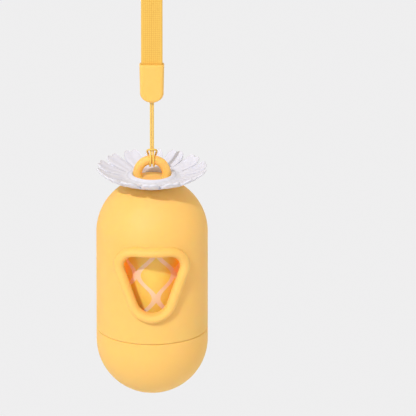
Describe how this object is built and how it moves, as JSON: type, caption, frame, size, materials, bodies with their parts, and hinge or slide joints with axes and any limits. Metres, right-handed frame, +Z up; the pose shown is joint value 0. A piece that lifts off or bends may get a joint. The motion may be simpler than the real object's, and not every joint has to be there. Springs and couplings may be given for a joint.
{
  "type": "dog poop bag dispenser",
  "caption": "Capsule-shaped holder for a roll of dog waste bags, hung from a wrist strap, with a lipped window, a pull-off cup and a flower collar round its hanging loop.",
  "frame": {"origin": "where the inside of the wrist loop bears on the hand or hook above it, on the object's plumb line", "axes": "+Z up along the strap, -Y out through the window, +X to the right as the window is looked at"},
  "size_m": [0.044, 0.0465, 0.2558],
  "materials": {
    "webbing": "plain woven",
    "thread": "sewn thread",
    "cord": "round braided",
    "cap_plastic": "smooth moulded",
    "shell_plastic": "soft-touch moulded",
    "lip_rubber": "matt moulded",
    "silicone": "matt moulded",
    "ring_rubber": "smooth moulded",
    "steel": "plain zinc",
    "bag_film": "thin printed film"
  },
  "bodies": {
    "wrist_strap": {"wrist_webbing": "webbing", "webbing_bartack": "thread", "strap_cap_front": "cap_plastic", "strap_cap_back": "cap_plastic", "cord_knot": "cord"},
    "cord": {"cord_loop": "cord"},
    "holder": {"upper_shell": "shell_plastic", "window_lip": "lip_rubber", "hanger": "shell_plastic", "hanger_washer": "steel", "hanger_screw": "steel"},
    "collar": {"flower_collar": "silicone"},
    "plug_ring": {"friction_ring": "ring_rubber"},
    "cup": {"bottom_cup": "shell_plastic"},
    "refill": {"bag_roll": "bag_film"}
  },
  "joints": [
    {"name": "cord_sway", "type": "hinge", "parent": "wrist_strap", "child": "cord", "pos_m": [0, 0, -0.1341], "axis": [0, 1, 0], "range_deg": [-45, 45]},
    {"name": "holder_swing", "type": "hinge", "parent": "cord", "child": "holder", "pos_m": [0, 0, -0.1583], "axis": [1, 0, 0], "range_deg": [-75, 75]},
    {"name": "collar_turn", "type": "hinge", "parent": "holder", "child": "collar", "pos_m": [0, 0, -0.1659], "axis": [0, 0, 1], "continuous": true},
    {"name": "cup_pull", "type": "slide", "parent": "holder", "child": "plug_ring", "axis": [0, 0, -1], "range_m": [0, 0.05]},
    {"name": "cup_turn", "type": "hinge", "parent": "plug_ring", "child": "cup", "pos_m": [0, 0, -0.22385], "axis": [0, 0, 1], "continuous": true},
    {"name": "roll_spin", "type": "hinge", "parent": "cup", "child": "refill", "pos_m": [0, 0, -0.215], "axis": [0, 0, 1], "continuous": true}
  ]
}
